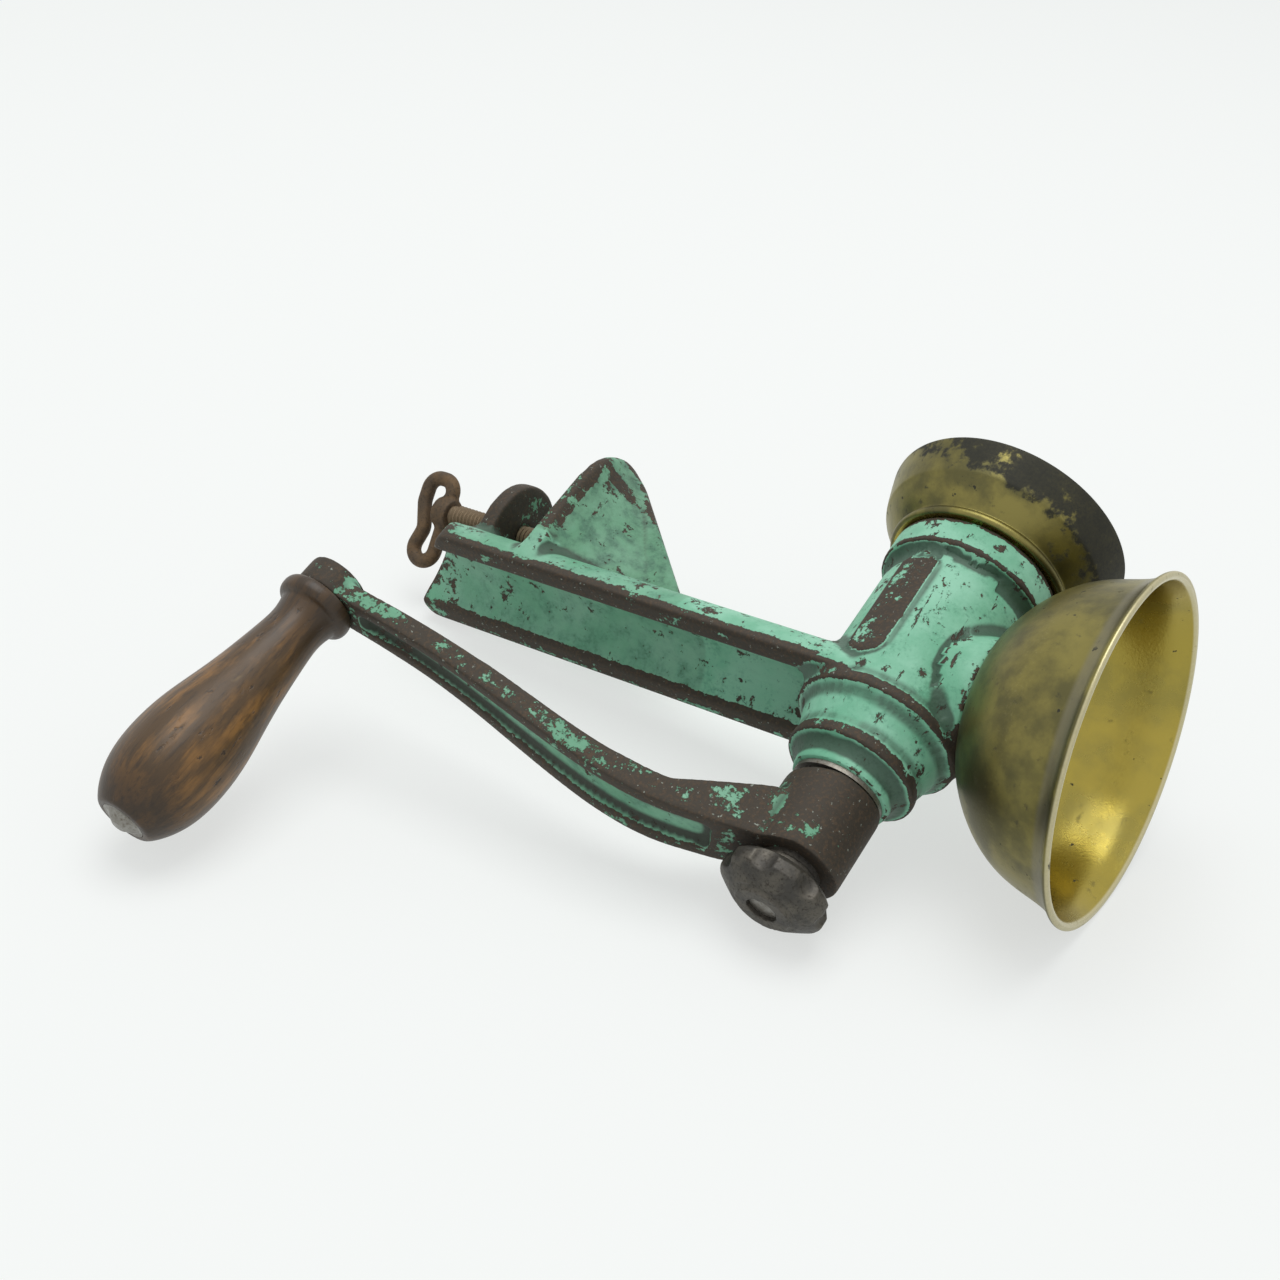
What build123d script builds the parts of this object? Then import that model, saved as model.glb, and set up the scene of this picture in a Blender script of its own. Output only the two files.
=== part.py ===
from build123d import *

# Hand cranked poppy seed mill that clamps to a table edge.
#
# Frame: +Z up, millimetres.  The origin is where the clamp screw's axis meets the underside
# of the jaw, the face that lies on the table top.  The mill axis, which the worm shaft and
# the crank turn on, runs parallel to Y: the crank is at its +Y end, the bell at its -Y end.

import os
from math import cos, radians, sin

os.makedirs("parts", exist_ok=True)

# ------------------------------------------------------------------ driving sizes

# Places of the main axes
axis_height = 125.0  # mill axis above the table top
hopper_y = 8.0  # hopper axis, behind the clamp screw's axis

# Barrel of the casting, turned about the mill axis; its lengths run back from the front face
barrel_front = -34.0
barrel_radius = 23.0
collar_length = 10.0
collar_height = 3.0
groove_length = 5.5
groove_depth = 0.9
shoulder_rib_y = 28.0
rib_width = 3.0
rib_height = 1.3
shoulder_drop = 1.4
shoulder_length = 11.0
shoulder_tip_radius = 18.3
neck_rib_radius = 19.4
neck_rib_width = 3.2
neck_radius = 14.75
neck_end = 49.5
cast_edge = 0.8
edge_slack = 0.01  # reach beyond an edge's place when it is picked

# Worm chamber and its bores
chamber_radius = 17.5
chamber_back = 32.0
throat_radius = 13.0

# Saddle boss that carries the hopper
boss_radius = 19.75
boss_top = 150.0

# Bare raised pad along the side of the barrel
pad_length = 40.0
pad_width = 11.0
pad_height = 0.8
pad_middle_y = -2.0
pad_turn = 18.0  # degrees above the horizontal

# Bracket arm: a gutter section that opens towards the crank
arm_half_width = 22.5
arm_front = 26.0
arm_depth = 14.0
arm_back_corner = 13.0
channel_radius = 17.0
arm_web = 4.0
arm_end = -42.3  # end of the arm on its middle line
arm_end_slope = 30.0
arm_end_corner = 6.0
arm_edge = 0.8

# Jaw: a rounded tongue with a central gusset
jaw_thickness = 6.0
jaw_reach = 36.5
gusset_thickness = 9.0
gusset_top = 53.0
gusset_tip_margin = 2.0
gusset_fillet = 4.0

# Lug that carries the clamp screw
lug_radius = 15.0
lug_thickness = 6.0
lug_drop = 20.0  # lug's upper face below the jaw

# Clamp screw, thumb loop and swivel pad
screw_radius = 4.0
screw_tip_radius = 2.4
pad_plate_radius = 7.5
pad_plate_thickness = 4.0
pad_plate_gap = 2.5  # pad's face below the jaw, as stored
tip_length = 2.6
loop_rod_radius = 2.5
loop_turn = 35.0  # loop's plane, degrees about the screw axis
loop_drop = 53.5  # loop's upper rod below the jaw
loop_right = 10.8
loop_left = 17.8
loop_height = 10.4
loop_dent = 3.2
loop_bend = 4.4
loop_hub_radius = 5.2
loop_hub_length = 6.0
tail_radius = 2.3

# Worm shaft
worm_radius = 16.9
worm_pitch = 17.0
worm_core_radius = 7.5
flight_thickness = 3.2
flight_sink = 0.8
journal_radius = 6.5
drive_square = 9.0
thread_radius = 4.4
cone_square = 8.0
stud_radius = 3.8
stud_length = 6.0
shaft_turned_y = 31.0  # back end of the worm's core
shaft_end = 90.0
slide_room = 1.0  # travel that the squares leave the shaft

# Grinding ring and cone
ring_body_radius = 21.6
ring_seat_depth = 9.5
ring_flange_radius = 23.8
ring_flange_thickness = 2.5
ring_entry_radius = 15.4
ring_exit_radius = 19.0
ring_teeth = 20
ring_tooth_depth = 0.9
cone_small_radius = 9.6
cone_length = 14.5
cone_land = 4.5
cone_teeth = 16
cone_tooth_depth = 1.6
grind_gap = 0.7
tooth_lead = 18.0  # degrees of twist along a groove
groove_width = 2.8
groove_overcut = 0.4  # how far a groove's cutter stands out, as a share of its depth
cone_front_inset = 1.2  # cone's wide face behind the ring's front face
cone_nut_flats = 12.0
cone_nut_thickness = 5.0

# Bell at the front
bell_rim_radius = 37.8
bell_length = 21.2
bell_neck_radius = 25.8
bell_neck_length = 3.4
bell_waist_radius = 34.2
bell_waist = 9.0
bell_wall = 1.2

# Hopper bowl
bowl_rim_radius = 50.0
bowl_top = 189.0
bowl_foot_radius = 19.5
bowl_foot_rise = 4.0
bowl_foot_reach = 28.0
bowl_belly_radius = 43.4
bowl_belly_height = 22.5
bowl_lip_radius = 46.6
bowl_lip_height = 4.0
bowl_wall = 1.4
hopper_ring_radius = 17.6
hopper_ring_thickness = 1.8
hopper_sleeve_wall = 2.0
hopper_sleeve_depth = 6.5

# Bush and thrust washer
bush_wall = 3.0
bush_length = 13.0
washer_thickness = 1.5
thrust_washer_radius = 13.4

# Crank
crank_angle = 17.0  # arm away from straight down, towards +X
crank_radius = 156.0
hub_radius = 14.0
hub_end = 76.0
arm_width_hub = 21.0
arm_width_tip = 14.0
crank_depth_hub = 8.0
crank_depth_tip = 6.0
crank_root = 16.0  # depth of the arm where it leaves the hub
crank_root_reach = 38.0
recess_depth = 2.4
recess_rim = 3.8
recess_start = 22.0
elbow_radius = 9.5
elbow_depth = 9.0
crank_edge = 1.0
root_rise = 0.25  # slope of the arm's underside where it leaves the hub

# Adjusting nut
nut_lobes = 7
nut_radius = 15.6
nut_lobe_depth = 1.9
nut_lobe_radius = 4.6
nut_head = 10.5
nut_collar_radius = 9.5
nut_collar = 3.2
nut_ring_radius = 8.2
nut_ring_height = 1.2
nut_washer_thickness = 1.6
nut_washer_radius = 9.0

# Grip
grip_length = 85.0
grip_collar_radius = 11.8
grip_neck_radius = 8.4
grip_bulb_radius = 15.8
grip_end_radius = 8.6
grip_bead = 2.5  # half the length of the bead at the collar
grip_bead_edge = 1.0
grip_bead_foot = 1.2
grip_neck_place = 0.15  # places along the grip, as shares of its length
grip_middle_place = 0.45
grip_bulb_place = 0.75
grip_pin_radius = 4.0
grip_pin_head = 6.4
grip_washer_radius = 6.6
grip_washer_thickness = 1.4
rivet_height = 2.0
rivet_tip_radius = 2.0

# Fits
running_gap = 0.06  # radial, shaft in bush
slide_gap = 0.08  # square and threads that move on each other
grip_gap = 0.10  # radial, grip on its spindle
seat_gap = 0.05  # between pieces that stay put
face_gap = 0.10  # between turning faces
end_gap = 0.30  # grip beside the elbow

# ------------------------------------------------------------------ planes and axes

mill_axis = Axis((0, 0, axis_height), (0, 1, 0))
mill_plane = Plane(origin=(0, 0, axis_height), x_dir=(0, 1, 0), z_dir=(1, 0, 0))
hopper_axis = Axis((0, hopper_y, 0), (0, 0, 1))
hopper_plane = Plane(origin=(0, hopper_y, 0), x_dir=(0, 1, 0), z_dir=(1, 0, 0))


def across(y):
    """Plane square to the mill axis at y; its normal points along +Y."""
    return Plane(origin=(0, y, axis_height), x_dir=(1, 0, 0), z_dir=(0, 1, 0))


def groove(radius, depth):
    """Triangle for a tooth's groove cut to depth outside radius, or inside it if negative."""
    lip = depth * groove_overcut
    open_side = radius - lip
    return [(radius + depth, 0), (open_side, groove_width / 2), (open_side, -groove_width / 2)]


groove_front = barrel_front + collar_length
groove_back = groove_front + groove_length
rib_front = shoulder_rib_y - rib_width / 2
rib_back = shoulder_rib_y + rib_width / 2
shoulder_end = rib_back + shoulder_length
neck_rib_end = shoulder_end + neck_rib_width
arm_back = arm_front - arm_depth
channel_floor = arm_back + arm_web
lug_top = -lug_drop

# ------------------------------------------------------------------ body casting

with BuildPart() as body_casting:
    # bracket arm, before its channel is cut
    with BuildSketch(Plane.XY.offset(2 * arm_end)) as arm_section:
        with Locations((0, arm_back + arm_depth / 2)):
            Rectangle(2 * arm_half_width, arm_depth)
        fillet(arm_section.vertices().group_by(Axis.Y)[0], arm_back_corner)
        fillet(arm_section.vertices().group_by(Axis.Y)[-1], arm_edge)
    extrude(amount=axis_height - 2 * arm_end)
    # the arm's free end is cut at a slant, with rounded corners
    slant = sin(radians(arm_end_slope)) / cos(radians(arm_end_slope)) * arm_half_width
    with BuildSketch(Plane.XZ) as arm_outline:
        with BuildLine():
            Polyline(
                (-arm_half_width, axis_height),
                (-arm_half_width, arm_end - slant),
                (arm_half_width, arm_end + slant),
                (arm_half_width, axis_height),
                close=True,
            )
        make_face()
        fillet(arm_outline.vertices().group_by(Axis.Y)[:2], arm_end_corner)
    extrude(amount=2 * arm_front, both=True, mode=Mode.INTERSECT)

    # jaw tongue
    with BuildSketch() as tongue:
        with Locations((0, arm_half_width - jaw_reach)):
            Circle(arm_half_width)
        with Locations((0, (arm_half_width - jaw_reach + arm_front) / 2 - arm_edge)):
            Rectangle(2 * arm_half_width, arm_front + jaw_reach - arm_half_width)
    extrude(amount=jaw_thickness)
    # gusset over the tongue's middle
    with BuildSketch(Plane.YZ) as gusset:
        with BuildLine():
            Polyline(
                (gusset_tip_margin - jaw_reach, jaw_thickness / 2),
                (gusset_tip_margin - jaw_reach, jaw_thickness),
                (arm_back, gusset_top),
                (channel_floor, gusset_top),
                (channel_floor, jaw_thickness / 2),
                close=True,
            )
        make_face()
    extrude(amount=gusset_thickness / 2, both=True)
    gusset_sides = body_casting.edges().filter_by_position(
        Axis.X, -gusset_thickness / 2 - edge_slack, gusset_thickness / 2 + edge_slack
    )
    gusset_roots = gusset_sides.filter_by(Axis.Y).filter_by_position(
        Axis.Z, jaw_thickness - edge_slack, jaw_thickness + edge_slack
    )
    fillet(gusset_roots, gusset_fillet)

    # lug for the clamp screw
    with BuildSketch(Plane.XY.offset(lug_top - lug_thickness)):
        Circle(lug_radius)
        with Locations((0, channel_floor / 2)):
            Rectangle(2 * lug_radius, channel_floor)
    extrude(amount=lug_thickness)

    # channel along the arm
    with BuildSketch(Plane.XY.offset(2 * arm_end)):
        with Locations((0, channel_floor + channel_radius)):
            Circle(channel_radius)
    extrude(amount=axis_height - 2 * arm_end, mode=Mode.SUBTRACT)

    # barrel, with collar, groove, ribs, shoulder and neck
    with BuildSketch(mill_plane) as barrel_profile:
        with BuildLine():
            Polyline(
                (barrel_front, 0),
                (barrel_front, barrel_radius + collar_height),
                (groove_front, barrel_radius + collar_height),
                (groove_front, barrel_radius - groove_depth),
                (groove_back, barrel_radius - groove_depth),
                (groove_back, barrel_radius),
                (rib_front, barrel_radius),
                (rib_front, barrel_radius + rib_height),
                (rib_back, barrel_radius + rib_height),
                (rib_back, barrel_radius - shoulder_drop),
                (shoulder_end, shoulder_tip_radius),
                (shoulder_end, neck_rib_radius),
                (neck_rib_end, neck_rib_radius),
                (neck_rib_end, neck_radius),
                (neck_end, neck_radius),
                (neck_end, 0),
                close=True,
            )
        make_face()
    revolve(axis=mill_axis)

    # saddle boss under the hopper
    with BuildSketch(Plane.XY.offset(axis_height)):
        with Locations((0, hopper_y)):
            Circle(boss_radius)
    extrude(amount=boss_top - axis_height)

    # bare raised pad along the barrel's side
    pad_plane = mill_plane.rotated((0, -pad_turn, 0)).offset(barrel_radius / 2)
    with BuildSketch(pad_plane):
        with Locations((pad_middle_y, 0)):
            SlotOverall(pad_length, pad_width)
    extrude(amount=barrel_radius / 2 + pad_height)

    # worm chamber, ring seat and bush seat
    with BuildSketch(across(chamber_back)):
        Circle(chamber_radius)
    extrude(amount=barrel_front - chamber_back, mode=Mode.SUBTRACT)
    with BuildSketch(across(barrel_front)):
        Circle(ring_body_radius + seat_gap)
    extrude(amount=ring_seat_depth, mode=Mode.SUBTRACT)
    with BuildSketch(across(neck_end)):
        Circle(journal_radius + running_gap + bush_wall + seat_gap)
    extrude(amount=-bush_length, mode=Mode.SUBTRACT)
    with BuildSketch(across(neck_end)):
        Circle(journal_radius + running_gap + face_gap)
    extrude(amount=barrel_front - neck_end, mode=Mode.SUBTRACT)
    # throat from the hopper into the chamber, with the seat of the hopper's sleeve
    with BuildSketch(Plane.XY.offset(boss_top)):
        with Locations((0, hopper_y)):
            Circle(throat_radius)
    extrude(amount=axis_height - boss_top, mode=Mode.SUBTRACT)
    with BuildSketch(Plane.XY.offset(boss_top)):
        with Locations((0, hopper_y)):
            Circle(throat_radius + hopper_sleeve_wall + seat_gap)
    extrude(amount=-hopper_sleeve_depth, mode=Mode.SUBTRACT)
    # screw hole through the lug
    with BuildSketch(Plane.XY.offset(lug_top)):
        Circle(screw_radius + slide_gap)
    extrude(amount=-lug_thickness, mode=Mode.SUBTRACT)

body_casting.part.label = "body_casting"
export_step(body_casting.part, "parts/body_casting.step")

# ------------------------------------------------------------------ hopper

bowl_belly = boss_top + bowl_belly_height
bowl_hole_radius = throat_radius + hopper_sleeve_wall + seat_gap
with BuildPart() as hopper_bowl:
    with BuildSketch(hopper_plane) as bowl_profile:
        with BuildLine() as bowl_line:
            foot = Line((bowl_hole_radius, boss_top), (bowl_foot_radius, boss_top))
            cone = Line(foot @ 1, (bowl_foot_reach, boss_top + bowl_foot_rise))
            belly = TangentArc(cone @ 1, (bowl_belly_radius, bowl_belly), tangent=cone % 1)
            wall = Line(belly @ 1, (bowl_lip_radius, bowl_top - bowl_lip_height))
            Line(wall @ 1, (bowl_rim_radius, bowl_top))
            offset(amount=bowl_wall, side=Side.LEFT, closed=True)
        make_face()
    revolve(axis=hopper_axis)

hopper_bowl.part.label = "hopper_bowl"
export_step(hopper_bowl.part, "parts/hopper_bowl.step")

# ring nut that clamps the bowl's floor on the boss
bowl_floor = boss_top + bowl_wall
with BuildPart() as hopper_ring:
    with BuildSketch(hopper_plane):
        with BuildLine():
            Polyline(
                (throat_radius, boss_top - hopper_sleeve_depth + seat_gap),
                (throat_radius + hopper_sleeve_wall, boss_top - hopper_sleeve_depth + seat_gap),
                (throat_radius + hopper_sleeve_wall, bowl_floor),
                (hopper_ring_radius, bowl_floor),
                (hopper_ring_radius, bowl_floor + hopper_ring_thickness),
                (throat_radius, bowl_floor + hopper_ring_thickness),
                close=True,
            )
        make_face()
    revolve(axis=hopper_axis)

hopper_ring.part.label = "hopper_ring"
export_step(hopper_ring.part, "parts/hopper_ring.step")

# ------------------------------------------------------------------ bell

bell_rim = barrel_front - bell_length
bell_neck_end = barrel_front - bell_neck_length
with BuildPart() as bell_mouth:
    with BuildSketch(mill_plane):
        with BuildLine():
            Polyline(
                (barrel_front, ring_body_radius + seat_gap),
                (barrel_front, bell_neck_radius),
                (bell_neck_end, bell_neck_radius),
                (barrel_front - bell_waist, bell_waist_radius),
                (bell_rim, bell_rim_radius),
            )
            offset(amount=bell_wall, side=Side.LEFT, closed=True)
        make_face()
    revolve(axis=mill_axis)

bell_mouth.part.label = "bell_mouth"
export_step(bell_mouth.part, "parts/bell_mouth.step")

# ------------------------------------------------------------------ grinding ring and cone

ring_back = barrel_front + ring_seat_depth - seat_gap
ring_shoulder = barrel_front - bell_wall
ring_front = ring_shoulder - ring_flange_thickness
ring_length = ring_back - ring_front
ring_slope = (ring_exit_radius - ring_entry_radius) / ring_length

with BuildPart() as burr_ring:
    with BuildSketch(mill_plane):
        with BuildLine():
            Polyline(
                (ring_back, ring_entry_radius),
                (ring_back, ring_body_radius),
                (ring_shoulder, ring_body_radius),
                (ring_shoulder, ring_flange_radius),
                (ring_front, ring_flange_radius),
                (ring_front, ring_exit_radius),
                close=True,
            )
        make_face()
    revolve(axis=mill_axis)
    # slanted teeth inside
    for tooth in range(ring_teeth):
        turn = 360 / ring_teeth * tooth
        with BuildSketch(across(ring_back).rotated((0, 0, turn))):
            Polygon(*groove(ring_entry_radius, ring_tooth_depth), align=None)
        with BuildSketch(across(ring_front).rotated((0, 0, turn + tooth_lead))):
            Polygon(*groove(ring_exit_radius, ring_tooth_depth), align=None)
        loft(mode=Mode.SUBTRACT)

burr_ring.part.label = "burr_ring"
export_step(burr_ring.part, "parts/burr_ring.step")

# the cone's wide end runs parallel to the ring, a grinding gap inside it
cone_front = ring_front + cone_front_inset
cone_back = cone_front + cone_length


def ring_radius_at(y):
    """Inner radius of the grinding ring at y."""
    return ring_entry_radius + ring_slope * (ring_back - y)


cone_wide_radius = ring_radius_at(cone_front) - grind_gap
with BuildPart() as grinding_cone:
    with BuildSketch(mill_plane):
        with BuildLine():
            Polyline(
                (cone_front, 0),
                (cone_front, cone_wide_radius),
                (cone_front + cone_land, ring_radius_at(cone_front + cone_land) - grind_gap),
                (cone_back, cone_small_radius),
                (cone_back, 0),
                close=True,
            )
        make_face()
    revolve(axis=mill_axis)
    for tooth in range(cone_teeth):
        turn = 360 / cone_teeth * (tooth + 0.5)
        with BuildSketch(across(cone_back).rotated((0, 0, turn))):
            Polygon(*groove(cone_small_radius, -cone_tooth_depth), align=None)
        with BuildSketch(across(cone_front).rotated((0, 0, turn - tooth_lead))):
            Polygon(*groove(cone_wide_radius, -cone_tooth_depth / 2), align=None)
        loft(mode=Mode.SUBTRACT)
    with BuildSketch(across(cone_front)):
        Rectangle(cone_square + 2 * seat_gap, cone_square + 2 * seat_gap)
    extrude(amount=cone_length, mode=Mode.SUBTRACT)

grinding_cone.part.label = "grinding_cone"
export_step(grinding_cone.part, "parts/grinding_cone.step")

# hexagon nut that holds the cone on the shaft's square
with BuildPart() as cone_nut:
    with BuildSketch(across(cone_front)):
        RegularPolygon(cone_nut_flats / 2, 6, major_radius=False)
        Circle(stud_radius + seat_gap, mode=Mode.SUBTRACT)
    extrude(amount=-cone_nut_thickness)
    chamfer(cone_nut.faces().sort_by(Axis.Y)[0].outer_wire().edges(), cast_edge)

cone_nut.part.label = "cone_nut"
export_step(cone_nut.part, "parts/cone_nut.step")

# ------------------------------------------------------------------ worm shaft

flight_length = shaft_turned_y - cone_back - 2 * flight_thickness
drive_end = hub_end - slide_room
with BuildPart() as worm_shaft:
    with BuildSketch(mill_plane):
        with BuildLine():
            Polyline(
                (cone_back, 0),
                (cone_back, worm_core_radius),
                (shaft_turned_y, worm_core_radius),
                (shaft_turned_y, journal_radius),
                (neck_end - slide_room, journal_radius),
                (neck_end - slide_room, thread_radius),
                (shaft_end, thread_radius),
                (shaft_end, 0),
                close=True,
            )
        make_face()
    revolve(axis=mill_axis)
    # squares for the crank and for the cone, and the stud for the cone's nut
    with BuildSketch(across(neck_end - slide_room)):
        Rectangle(drive_square, drive_square)
    extrude(amount=drive_end - neck_end + slide_room)
    with BuildSketch(across(cone_back)):
        Rectangle(cone_square, cone_square)
    extrude(amount=-cone_length + seat_gap)
    with BuildSketch(across(cone_back)):
        Circle(stud_radius)
    extrude(amount=-cone_length - stud_length)
    # helical flight, from just behind the cone to the back of the chamber
    with BuildLine():
        helix = Helix(
            pitch=worm_pitch,
            height=flight_length - flight_thickness,
            radius=worm_core_radius,
            center=(0, cone_back + 2 * flight_thickness, axis_height),
            direction=(0, 1, 0),
        )
    helix_start = helix @ 0
    from_axis = helix_start - Vector(0, helix_start.Y, axis_height)
    with BuildSketch(Plane(origin=helix_start, x_dir=from_axis, z_dir=helix % 0)):
        with Locations(((worm_radius - worm_core_radius - flight_sink) / 2, 0)):
            Rectangle(worm_radius - worm_core_radius + flight_sink, flight_thickness)
    sweep(path=helix, is_frenet=True)

worm_shaft.part.label = "worm_shaft"
export_step(worm_shaft.part, "parts/worm_shaft.step")

# bush in the neck
with BuildPart() as shaft_bush:
    with BuildSketch(across(neck_end)):
        Circle(journal_radius + running_gap + bush_wall)
        Circle(journal_radius + running_gap, mode=Mode.SUBTRACT)
    extrude(amount=seat_gap - bush_length)

shaft_bush.part.label = "shaft_bush"
export_step(shaft_bush.part, "parts/shaft_bush.step")

# washer between the neck and the crank's hub
with BuildPart() as thrust_washer:
    with BuildSketch(across(neck_end)):
        Circle(thrust_washer_radius)
        Circle(journal_radius + face_gap, mode=Mode.SUBTRACT)
    extrude(amount=washer_thickness)

thrust_washer.part.label = "thrust_washer"
export_step(thrust_washer.part, "parts/thrust_washer.step")

# ------------------------------------------------------------------ crank

hub_start = neck_end + washer_thickness + face_gap
down = radians(crank_angle)
outward = Vector(sin(down), 0, -cos(down))
crank_side = Plane(
    origin=(0, 0, axis_height), x_dir=outward, z_dir=outward.cross(Vector(0, 1, 0))
)


def crank_face(y):
    """Plane across the mill axis at y, its x axis along the crank's arm."""
    return Plane(origin=(0, y, axis_height), x_dir=outward, z_dir=(0, 1, 0))


recess_end = crank_radius - elbow_radius - recess_rim
arm_inner_tip = hub_end - crank_depth_tip
with BuildPart() as crank:
    # arm seen along the mill axis
    with BuildSketch(crank_face(hub_start)):
        with BuildLine():
            Polyline(
                (0, -arm_width_hub / 2),
                (crank_radius, -arm_width_tip / 2),
                (crank_radius, arm_width_tip / 2),
                (0, arm_width_hub / 2),
                close=True,
            )
        make_face()
    extrude(amount=hub_end - hub_start)
    # arm seen from the side, with its deep root at the hub
    with BuildSketch(crank_side):
        with BuildLine():
            root = Line((0, hub_end - crank_root), (hub_radius, hub_end - crank_root))
            knee = (crank_root_reach, hub_end - crank_depth_hub)
            sweep_up = TangentArc(root @ 1, knee, tangent=(1, root_rise))
            Polyline(
                sweep_up @ 1,
                (crank_radius + elbow_radius, arm_inner_tip),
                (crank_radius + elbow_radius, hub_end),
                (0, hub_end),
                (0, hub_end - crank_root),
            )
        make_face()
    extrude(amount=arm_width_hub, both=True, mode=Mode.INTERSECT)
    # recessed channel along the arm's outer face
    with BuildSketch(crank_face(hub_end)) as recess:
        with BuildLine():
            Polyline(
                (recess_start, recess_rim - arm_width_hub / 2 + cast_edge),
                (recess_end, recess_rim - arm_width_tip / 2),
                (recess_end, arm_width_tip / 2 - recess_rim),
                (recess_start, arm_width_hub / 2 - recess_rim - cast_edge),
                close=True,
            )
        make_face()
        fillet(recess.vertices(), 2 * crank_edge)
    extrude(amount=-recess_depth, mode=Mode.SUBTRACT)
    # hub and elbow boss
    with BuildSketch(crank_face(hub_start)):
        Circle(hub_radius)
    extrude(amount=hub_end - hub_start)
    with BuildSketch(crank_face(hub_end)):
        with Locations((crank_radius, 0)):
            Circle(elbow_radius)
    extrude(amount=-elbow_depth)
    # square for the shaft, hole for the grip's spindle
    with BuildSketch(across(hub_start)):
        Rectangle(drive_square + 2 * slide_gap, drive_square + 2 * slide_gap)
    extrude(amount=hub_end - hub_start, mode=Mode.SUBTRACT)
    with BuildSketch(crank_face(hub_end)):
        with Locations((crank_radius, 0)):
            Circle(grip_pin_radius + seat_gap)
    extrude(amount=-elbow_depth, mode=Mode.SUBTRACT)

crank.part.label = "crank"
export_step(crank.part, "parts/crank.step")

# ------------------------------------------------------------------ adjusting nut

# washer under the nut
with BuildPart() as nut_washer:
    with BuildSketch(across(hub_end)):
        Circle(nut_washer_radius)
        Circle(thread_radius + running_gap + slide_gap, mode=Mode.SUBTRACT)
    extrude(amount=nut_washer_thickness)

nut_washer.part.label = "nut_washer"
export_step(nut_washer.part, "parts/nut_washer.step")

nut_start = hub_end + nut_washer_thickness + face_gap
nut_head_start = nut_start + nut_collar
nut_face = nut_head_start + nut_head
with BuildPart() as adjusting_nut:
    with BuildSketch(across(nut_head_start)) as nut_outline:
        Circle(nut_radius)
        with PolarLocations(nut_radius + nut_lobe_radius - nut_lobe_depth, nut_lobes):
            Circle(nut_lobe_radius, mode=Mode.SUBTRACT)
        fillet(nut_outline.vertices(), cast_edge)
    extrude(amount=nut_head)
    # dome the lobed head
    with BuildSketch(mill_plane):
        with BuildLine():
            Polyline(
                (nut_head_start, 0),
                (nut_head_start, nut_radius - nut_lobe_depth),
                (nut_head_start + nut_lobe_depth, nut_radius),
                (nut_head_start + nut_head / 2, nut_radius),
                (nut_face - nut_ring_height, nut_ring_radius + nut_lobe_depth),
                (nut_face - nut_ring_height, nut_ring_radius),
                (nut_face, nut_ring_radius),
                (nut_face, 0),
                close=True,
            )
        make_face()
    revolve(axis=mill_axis, mode=Mode.INTERSECT)
    with BuildSketch(across(nut_start)):
        Circle(nut_collar_radius)
    extrude(amount=nut_collar)
    with BuildSketch(across(nut_start)):
        Circle(thread_radius + slide_gap)
    extrude(amount=nut_face - nut_start, mode=Mode.SUBTRACT)

adjusting_nut.part.label = "adjusting_nut"
export_step(adjusting_nut.part, "parts/adjusting_nut.step")

# ------------------------------------------------------------------ grip

grip_place = crank_radius * outward + Vector(0, 0, axis_height)
grip_axis = Axis(grip_place, (0, 1, 0))
grip_plane = Plane(origin=grip_place, x_dir=(0, 1, 0), z_dir=outward.cross(Vector(0, 1, 0)))
grip_start = hub_end + end_gap
grip_end = grip_start + grip_length
grip_recess = grip_end - grip_washer_thickness - face_gap
with BuildPart() as grip:
    with BuildSketch(grip_plane):
        with BuildLine():
            collar = Line((grip_start, 0), (grip_start, grip_collar_radius - grip_bead_edge))
            bead = ThreePointArc(
                collar @ 1,
                (grip_start + grip_bead, grip_collar_radius),
                (grip_start + 2 * grip_bead, grip_collar_radius - grip_bead_foot),
            )
            body = Spline(
                bead @ 1,
                (grip_start + grip_neck_place * grip_length, grip_neck_radius),
                (grip_start + grip_middle_place * grip_length, (grip_neck_radius + grip_bulb_radius) / 2),
                (grip_start + grip_bulb_place * grip_length, grip_bulb_radius),
                (grip_end, grip_end_radius),
            )
            Polyline(body @ 1, (grip_end, 0), (grip_start, 0))
        make_face()
    revolve(axis=grip_axis)
    with BuildSketch(grip_plane):
        with BuildLine():
            Polyline(
                (grip_start, 0),
                (grip_start, grip_pin_radius + grip_gap),
                (grip_recess, grip_pin_radius + grip_gap),
                (grip_recess, grip_washer_radius + grip_gap),
                (grip_end, grip_washer_radius + grip_gap),
                (grip_end, 0),
                close=True,
            )
        make_face()
    revolve(axis=grip_axis, mode=Mode.SUBTRACT)

grip.part.label = "grip"
export_step(grip.part, "parts/grip.step")

# washer let into the grip's end
with BuildPart() as grip_washer:
    with BuildSketch(crank_face(grip_recess + face_gap)):
        with Locations((crank_radius, 0)):
            Circle(grip_washer_radius)
            Circle(grip_pin_radius + seat_gap, mode=Mode.SUBTRACT)
    extrude(amount=grip_washer_thickness)

grip_washer.part.label = "grip_washer"
export_step(grip_washer.part, "parts/grip_washer.step")

# spindle riveted over in the crank and over the washer
rivet_face = hub_end - elbow_depth
with BuildPart() as grip_pin:
    with BuildSketch(grip_plane):
        with BuildLine():
            Polyline(
                (rivet_face - rivet_height, 0),
                (rivet_face - rivet_height, rivet_tip_radius),
                (rivet_face, grip_pin_head),
                (rivet_face, grip_pin_radius),
                (grip_end, grip_pin_radius),
                (grip_end, grip_pin_head - rivet_height / 2),
                (grip_end + rivet_height, rivet_tip_radius),
                (grip_end + rivet_height, 0),
                close=True,
            )
        make_face()
    revolve(axis=grip_axis)

grip_pin.part.label = "grip_pin"
export_step(grip_pin.part, "parts/grip_pin.step")

# ------------------------------------------------------------------ clamp screw

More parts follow.
